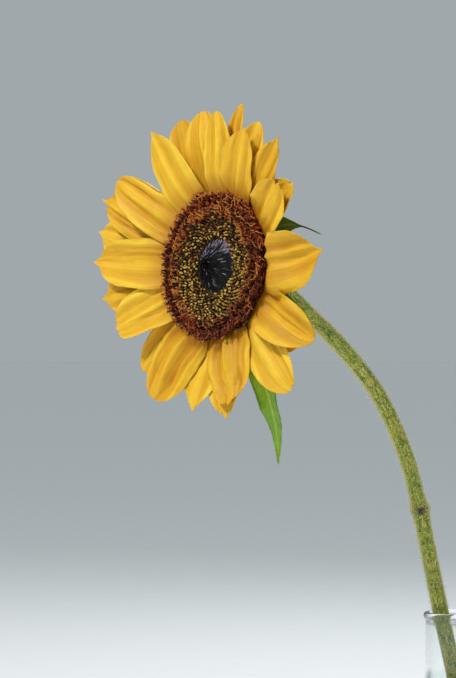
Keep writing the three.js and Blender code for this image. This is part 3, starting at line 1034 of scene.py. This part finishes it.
def make_eye(materials):
    """The middle of the disk: dark pointed scales that lie in towards the centre."""
    eye_radius, _, _ = disk_zones()
    rng = np.random.default_rng(SEED + 3)
    radius, angle = florets(lambda a: 0, lambda a: eye_radius + 0.2 * MM)
    count = len(radius)
    share = radius / eye_radius
    lean = np.radians(-18 - 44 * share + rng.normal(0, 6, count))
    axes = floret_axes(angle, lean, rng.uniform(-0.2, 0.2, count), rng.normal(0, 0.12, count))
    top = disk_top()(radius) - 1.6 * MM * share
    foot = HEAD.place(radius, angle, top) - axes[:, 2] * 1.2 * MM
    profile = [(0.34, 0.0), (0.42, 0.9), (0.3, 1.9), (0.14, 2.7), (0.02, 3.3)]
    points, triangles = turned_template(profile, 6)
    points = points * [0.62, 1.0, 1.0]
    scales = Copies()
    # Painted light: scales towards the top of the eye, more so further out, take the pale slate and lilac
    # shades as a painted sheen. Those at the bottom stay black and ink as painted shade.
    painted_light_share = clamp(0.3 + 1.3 * share * np.sin(angle - 0.1))
    tint = np.floor(rng.random(count) ** (9.0 - 8.3 * painted_light_share) * 3.99).astype(int)
    scales.add((points, triangles), foot, axes, rng.uniform(0.75, 1.1, count), tint)
    finish_piece(scales.mesh("eye_scales"), materials["scale"], ["eye_florets"])


# Millimetres of the receptacle's side, from its front, that are dark bed and then petal feet.
BED_BAND = 2.4
FOOT_BAND = 5.4
BED_LIFT = 1.4  # millimetres by which the bed rises into the florets


def make_receptacle(materials):
    """The head's green back, with a dark bed in front for the florets."""
    radius, height = HEAD.radii_and_heights("receptacle")
    pairs = {(round(r / MM, 2), round(h / MM, 2)) for r, h in zip(radius, height)}
    rim_height = max(h for _, h in pairs)
    outline = sorted((p for p in pairs if p[0] > 1), key=lambda p: (-p[1], p[0]))
    outline = [p for p in outline if p[1] < rim_height or p[0] > 20]
    front = rim_height + BED_LIFT
    profile = [(0.05, front), (outline[0][0] * 0.9, front), *outline, (0.05, outline[-1][1])]
    profile = np.array(profile) * MM
    walked = distances(profile)
    fine = np.linspace(0, walked[-1], 90)
    dense = np.stack([np.interp(fine, walked, profile[:, i]) for i in (0, 1)], -1)
    angle = round_angles(RECEPTACLE_AROUND)
    rng = np.random.default_rng(SEED + 4)
    lumps = 1 + 0.012 * np.sin(21 * angle) + 0.008 * np.sin(13 * angle + 1)
    rings = HEAD.place(dense[:, :1] * lumps[None, :], angle[None, :], dense[:, 1:])
    rings = rings + rng.normal(0, 0.03 * MM, rings.shape)
    points, quads, caps = tube(rings[::-1])
    piece = build_mesh("receptacle_body", points, quads, caps)
    in_front = [(np.array(face.center) - HEAD.centre) @ HEAD.normal for face in piece.data.polygons]
    depth = rim_height - np.array(in_front) / MM
    flags = np.select([depth < BED_BAND, depth < FOOT_BAND], [1, 2], 0).astype(np.int32)
    piece.data.polygons.foreach_set("material_index", flags)
    finish_piece(piece, materials, ["receptacle"])


# ---------------- stem

JOINT_LAP = 0.25 * MM  # how far the skins of two stem pieces run into each other


class Stem:
    """Centre line and radius of each CAD piece of the stem, and how far up it starts."""

    def __init__(self):
        self.pieces, self.start = {}, {}
        start = 0.0
        for node in ("stem_lower", "stem_middle", "stem_upper"):
            first, rings, last = loft_rings(node, STEM_SIDES)
            if first[2] > last[2]:
                rings = rings[::-1]
            centres = np.array([ring.mean(0) for ring in rings])
            radii = np.array([np.linalg.norm(r - c, axis=1).mean() for r, c in zip(rings, centres)])
            self.pieces[node] = (centres, radii)
            self.start[node] = start
            start += distances(centres)[-1]

    def frames(self, node, step):
        """Fine centres, radii, distance walked and two axes square to the stem."""
        centres, radii = self.pieces[node]
        walked = distances(centres)
        fine = np.linspace(-JOINT_LAP, walked[-1] + JOINT_LAP, max(4, int(walked[-1] / step)))
        centre = smooth_interp(fine, walked, centres)
        radius = np.interp(fine, walked, radii)
        along = unit(np.gradient(centre, axis=0))
        if node == "stem_upper":
            blend = clamp((fine - walked[-1] + 3 * MM) / (3 * MM))[:, None]
            along = unit(along * (1 - blend) + HEAD.normal * blend)
        across = unit(np.cross(along, UP))
        over = np.cross(across, along)
        return centre, radius, fine + self.start[node], across, over


def from_front(angle, across, over):
    """Angles round the stem measured from the side that faces the front of the scene."""
    front = np.arctan2(-over[:, 1], -across[:, 1])
    return (angle[None, :] - front[:, None] + np.pi) % (2 * np.pi) - np.pi


def stem_relief(angle, walked, scar):
    """How far the stem's skin stands off its CAD radius: ribs, lumps and the swollen node."""
    turn = 0.25 * np.sin(walked / (60 * MM))
    ribs = 0.11 * np.cos(9 * (angle + turn)) + 0.06 * np.cos(17 * (angle - turn) + 1.3)
    lumps = 0.07 * np.sin(5 * angle + walked / (3.1 * MM)) * np.sin(walked / (2.3 * MM))
    lumps += 0.05 * np.sin(8 * angle - walked / (1.7 * MM)) * np.sin(walked / (1.1 * MM) + 2 * angle)
    collar = bell(walked - scar, 1.8 * MM) * (0.2 - 0.35 * np.cos(2 * angle) + 0.15 * np.sin(7 * angle))
    return (ribs + lumps + collar) * MM - STEM_INSET


def make_stem(stem, skin, hair):
    scar = stem.start["stem_middle"]
    angle = round_angles(STEM_AROUND)
    rng = np.random.default_rng(SEED + 5)
    for node in stem.pieces:
        centre, radius, walked, across, over = stem.frames(node, STEM_RING_STEP)
        turned = from_front(angle, across, over)
        reach = radius[:, None] + stem_relief(turned, walked[:, None], scar)
        rings = centre[:, None, :] + circles(across, over, STEM_AROUND) * reach[..., None]
        points, quads, caps = tube(rings)
        map_along = np.broadcast_to(walked[:, None] / STEM_MAP_LENGTH, reach.shape)
        uv = np.stack([np.abs(turned) / np.pi, map_along], -1)
        uv = np.concatenate([uv.reshape(-1, 2), [[0.5, 0], [0.5, 0]]])
        piece = build_mesh(node.replace("stem", "stem_skin"), points, quads, caps, {"Blade": uv})
        finish_piece(piece, [skin], [node])
    make_stem_hairs(stem, hair, rng)


def hair_template(bend):
    """A unit-long hair along z that thins to a point and bends towards x."""
    heights = np.array([0.0, 0.55, 1.0])
    path = np.stack([bend * heights**2, np.zeros(3), heights], -1)
    return bent_tube_template(path, [0.034, 0.024, 0.004], 3)


def make_stem_hairs(stem, materials, rng):
    shapes = [hair_template(bend) for bend in (-0.3, 0.1, 0.35)]
    hairs = Copies()
    for node in stem.pieces:
        centre, radius, walked, across, over = stem.frames(node, STEM_RING_STEP)
        above_rim = centre[:, 2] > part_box("vase")[1][2] - 6 * MM
        if not above_rim.any():
            continue
        first = int(np.argmax(above_rim))
        length = (walked[-1] - walked[first]) / MM
        count = int(length * STEM_HAIRS_PER_MM)
        index = rng.integers(first, len(centre), count)
        close = rng.random(count) < 0.05 if node != "stem_upper" else np.zeros(count, bool)
        at_scar = np.argmin(np.abs(walked - stem.start["stem_middle"]))
        index[close] = np.clip(at_scar + rng.integers(-2, 3, close.sum()), 0, len(centre) - 1)
        angle = rng.uniform(0, 2 * np.pi, count)
        out = across[index] * np.cos(angle)[:, None] + over[index] * np.sin(angle)[:, None]
        place = centre[index] + out * (radius[index] - STEM_INSET + 0.1 * MM)[:, None]
        forward = np.cross(over[index], across[index])
        place = place + forward * (rng.uniform(-0.5, 0.5, count) * STEM_RING_STEP)[:, None]
        up = unit(out + forward * rng.normal(-0.15, 0.35, count)[:, None]
                  + np.cross(out, forward) * rng.normal(0, 0.3, count)[:, None])
        x = unit(np.cross(up, np.cross(forward, up)))
        axes = np.stack([x, np.cross(up, x), up], 1)
        size = rng.gamma(5.0, 0.22, count).clip(0.5, 2.6) * MM
        pick = rng.integers(0, len(shapes), count)
        for kind, shape in enumerate(shapes):
            mine = np.flatnonzero(pick == kind)
            hairs.add(shape, place[mine], axes[mine], size[mine], rng.integers(0, 2, len(mine)))
    finish_piece(hairs.mesh("stem_hairs"), materials)


# ---------------- vase

def lathe_profile(node):
    """The profile of a turned CAD node as (radius, height) pairs, from its middle outwards."""
    points, triangles = welded(node)
    pairs = [(round(math.hypot(x, y) / MM, 2), round(z / MM, 2)) for x, y, z in points]
    places = sorted(set(pairs))
    number = {pair: i for i, pair in enumerate(places)}
    near = neighbours(np.array([number[pair] for pair in pairs])[triangles])
    walk = [number[(0.0, 0.0)]]
    while onward := near[walk[-1]] - set(walk):
        walk.append(min(onward, key=lambda n: math.dist(places[n], places[walk[-1]])))
    return np.array([places[i] for i in walk]) * MM


def round_corners(profile, radius, steps=6):
    """Replaces each corner of a profile by a short curve."""
    rounded = [profile[0]]
    for before, corner, after in zip(profile, profile[1:], profile[2:]):
        entry = corner + (before - corner) * min(0.45, radius / np.linalg.norm(before - corner))
        leave = corner + (after - corner) * min(0.45, radius / np.linalg.norm(after - corner))
        for t in np.linspace(0, 1, steps):
            rounded.append((1 - t) ** 2 * entry + 2 * t * (1 - t) * corner + t * t * leave)
    rounded.append(profile[-1])
    return np.array(rounded)


def make_vase(glass):
    profile = round_corners(lathe_profile("vase"), 2.2 * MM)
    radius, height = profile[1:-1].T[..., None, None]
    axes = np.eye(3)[:2, None]
    points, quads, caps = tube(circles(*axes, VASE_AROUND) * radius + UP * height)
    finish_piece(build_mesh("vase_glass", points, quads, caps), [glass], ["vase"])


def glass_material():
    material = new_material(
        "clear_glass", (0.97, 0.99, 0.985), 0.02, Transmission_Weight=1.0, IOR=1.48
    )
    paint = Paint(material)
    paint.bump(paint.grain(45.0, 2.0), 0.0002, 0.15)
    return material


# ---------------- studio

def make_floor():
    size = 30.0
    points = np.array([[-size, -size, 0], [size, -size, 0], [size, size, 0], [-size, size, 0]])
    floor = build_mesh("floor", points - [0, 0, 0.2 * MM], [[0, 1, 2, 3]])
    material = new_material("floor_paper", (0.9, 0.9, 0.9), 0.9, Specular_IOR_Level=0.1)
    paint = Paint(material)
    mottling = [(0.3, (0.97, 0.98, 0.985)), (0.7, (0.99, 1.0, 1.0))]
    paint.colour(paint.ramp(paint.grain(30.0), mottling))
    floor.data.materials.append(material)


def area_light(name, offset, size, power, colour):
    """A round lamp at an offset from the head, turned to face it."""
    data = bpy.data.lights.new(name, "AREA")
    data.shape = "DISK"
    data.size = size
    data.energy = power
    data.color = colour
    light = new_object(name, data)
    light.location = HEAD.centre + offset
    light.rotation_euler = Vector(offset).to_track_quat("Z", "Y").to_euler()


def make_studio():
    area_light("key", (-0.85, -0.65, 1.15), 0.26, 20, (1.0, 0.97, 0.92))
    area_light("fill", (0.9, -1.3, 0.1), 1.4, 2.5, (0.95, 0.98, 1.0))
    area_light("back", (0.5, 1.2, 0.9), 0.9, 8, (0.95, 0.98, 1.0))
    world = bpy.data.worlds.new("studio")
    world.use_nodes = True
    background = world.node_tree.nodes["Background"]
    background.inputs["Color"].default_value = (0.78, 0.87, 0.91, 1)
    background.inputs["Strength"].default_value = 0.45
    bpy.context.scene.world = world


def make_camera():
    data = bpy.data.cameras.new("camera")
    data.lens = CAMERA_LENS
    data.sensor_fit = "VERTICAL"
    data.sensor_height = SENSOR
    data.clip_start = 0.01
    camera = new_object("camera", data)
    head = HEAD.centre
    camera.location = (head[0] + CAMERA_RIGHT_OF_HEAD, -CAMERA_DISTANCE, head[2] - CAMERA_BELOW_HEAD)
    camera.rotation_euler = (math.pi / 2, 0, 0)
    bpy.context.scene.camera = camera


# ---------------- assembly

make_camera()
make_studio()
make_floor()

bpy.context.scene.view_settings.view_transform = "Standard"

# Petal paints: foot, valley and crest colours. The valley colour carries painted shade and the crest
# colour a painted highlight.
petal_fronts = [
    petal_material("petal_a", (0.44, 0.15, 0.010), (0.62, 0.33, 0.012), (0.86, 0.55, 0.040)),
    petal_material("petal_b", (0.40, 0.13, 0.008), (0.57, 0.29, 0.010), (0.81, 0.50, 0.030)),
    petal_material("petal_c", (0.48, 0.18, 0.012), (0.66, 0.37, 0.014), (0.89, 0.60, 0.050)),
]
petal_back = petal_material("petal_back", (0.34, 0.28, 0.04), (0.62, 0.36, 0.05), (0.80, 0.52, 0.09))
make_petals(petal_fronts, petal_back)
make_bracts(
    leafy_material("bract_face", (0.055, 0.13, 0.018), (0.10, 0.20, 0.03), (0.22, 0.32, 0.08)),
    leafy_material("bract_under", (0.10, 0.18, 0.03), (0.16, 0.26, 0.05), (0.28, 0.36, 0.12)),
)
make_leaf(
    leafy_material("leaf_face", (0.19, 0.42, 0.014), (0.30, 0.54, 0.02), (0.52, 0.70, 0.12), 11, 0.42),
    leafy_material("leaf_under", (0.22, 0.36, 0.05), (0.30, 0.44, 0.08), (0.48, 0.58, 0.22), 11, 0.5),
)

# For each kind of floret part: its shades, as (dark grains, light grains, roughness).
FLORET_SHADES = {
    # The lighter corolla and stigma shades (rust, orange) are the florets' own colours, dealt oftener to
    # the top left of the head as painted light.
    "corolla": {
        "maroon": ((0.12, 0.014, 0.004), (0.20, 0.030, 0.007), 0.7),
        "rust": ((0.34, 0.050, 0.006), (0.50, 0.095, 0.010), 0.7),
        "brown": ((0.035, 0.006, 0.003), (0.07, 0.012, 0.005), 0.75),
    },
    "anther": {
        "dark": ((0.010, 0.003, 0.002), (0.025, 0.007, 0.004), 0.7),
        "brown": ((0.07, 0.018, 0.008), (0.12, 0.035, 0.012), 0.7),
        "gold": ((0.34, 0.17, 0.03), (0.50, 0.30, 0.06), 0.7),
    },
    "stigma": {
        "rust": ((0.34, 0.065, 0.012), (0.46, 0.11, 0.02), 0.6),
        "orange": ((0.56, 0.17, 0.02), (0.74, 0.27, 0.04), 0.6),
        "maroon": ((0.13, 0.018, 0.008), (0.20, 0.035, 0.012), 0.6),
    },
    # The darker bud tips, rust and olive, and tips left in the body colour go oftener to the top of the
    # head as painted shade.
    "bud": {
        "body": ((0.022, 0.009, 0.003), (0.06, 0.026, 0.007), 0.75),
        "tip_gold": ((0.40, 0.21, 0.025), (0.55, 0.31, 0.04), 0.65),
        "tip_yellow": ((0.56, 0.36, 0.06), (0.74, 0.52, 0.12), 0.65),
        "tip_olive": ((0.11, 0.07, 0.015), (0.18, 0.12, 0.03), 0.7),
        "tip_rust": ((0.16, 0.05, 0.012), (0.26, 0.09, 0.02), 0.7),
    },
    # Slate and lilac are partly the scales' own colour and partly a painted sheen. They go mostly to the
    # top of the eye, and black and ink, as painted shade, go to the bottom.
    "scale": {
        "black": ((0.002, 0.003, 0.003), (0.004, 0.005, 0.005), 0.75),
        "ink": ((0.004, 0.004, 0.005), (0.009, 0.008, 0.010), 0.7),
        "slate": ((0.034, 0.030, 0.042), (0.070, 0.060, 0.085), 0.5),
        "lilac": ((0.17, 0.145, 0.20), (0.30, 0.26, 0.34), 0.5),
    },
}
FLORET_PAINTS = {
    kind: [grainy_material(f"{kind}_{shade}", *look) for shade, look in shades.items()]
    for kind, shades in FLORET_SHADES.items()
}
make_open_florets(FLORET_PAINTS)
make_bud_florets(FLORET_PAINTS)
make_eye(FLORET_PAINTS)
make_receptacle([
    grainy_material("receptacle_skin", (0.14, 0.22, 0.04), (0.22, 0.30, 0.07), 0.65),
    grainy_material("floret_bed", (0.03, 0.014, 0.008), (0.06, 0.03, 0.012), 0.8),
    grainy_material("petal_feet", (0.24, 0.13, 0.015), (0.36, 0.22, 0.03), 0.7),
])
STEM = Stem()
make_stem(STEM, stem_material(STEM.start["stem_middle"]), [
    grainy_material("hair_white", (0.88, 0.88, 0.78), (0.96, 0.96, 0.88), 0.5),
    grainy_material("hair_cream", (0.76, 0.74, 0.52), (0.88, 0.86, 0.68), 0.5),
])
make_vase(glass_material())
